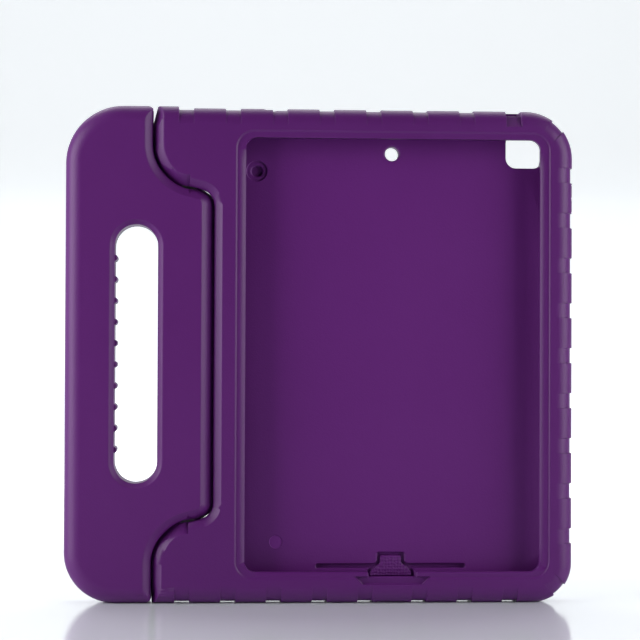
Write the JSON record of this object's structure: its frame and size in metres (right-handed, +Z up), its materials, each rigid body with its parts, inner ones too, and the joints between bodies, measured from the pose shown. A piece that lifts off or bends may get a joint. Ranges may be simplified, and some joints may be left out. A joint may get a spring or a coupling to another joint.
{
  "type": "tablet case",
  "caption": "Moulded foam tablet case with a lipped pocket, rounded outer blocks and a slotted carry handle that folds back on an upright hinge to become a stand.",
  "frame": {"origin": "below the middle of the whole case, on the surface that its lower edge stands on", "axes": "+X from the handle towards the case's outer long edge, +Y from the open front towards the back, +Z up along the hinge line"},
  "size_m": [0.2722, 0.026, 0.265],
  "materials": {
    "case_foam": "satin",
    "handle_foam": "satin",
    "pad_foam": "satin",
    "hinge_plastic": "satin",
    "pin_steel": "satin"
  },
  "bodies": {
    "case": {"case_body": "case_foam", "upper_ear_bush": "hinge_plastic", "lower_ear_bush": "hinge_plastic"},
    "handle": {"handle": "handle_foam", "upper_handle_anchor": "hinge_plastic", "lower_handle_anchor": "hinge_plastic", "upper_hinge_pin": "pin_steel", "lower_hinge_pin": "pin_steel"},
    "volume_up_pad": {"volume_up_pad": "pad_foam"},
    "volume_down_pad": {"volume_down_pad": "pad_foam"},
    "power_pad": {"power_pad": "pad_foam"}
  },
  "joints": [
    {"name": "handle_fold", "type": "hinge", "parent": "case", "child": "handle", "pos_m": [-0.07055, 0, 0.1325], "axis": [0, 0, -1], "range_deg": [0, 110]},
    {"name": "volume_up_press", "type": "slide", "parent": "case", "child": "volume_up_pad", "axis": [-1, 0, 0], "range_m": [0, 0.001], "stiffness_N_per_m": 800},
    {"name": "volume_down_press", "type": "slide", "parent": "case", "child": "volume_down_pad", "axis": [-1, 0, 0], "range_m": [0, 0.001], "stiffness_N_per_m": 800},
    {"name": "power_press", "type": "slide", "parent": "case", "child": "power_pad", "axis": [0, 0, -1], "range_m": [0, 0.001], "stiffness_N_per_m": 800}
  ]
}
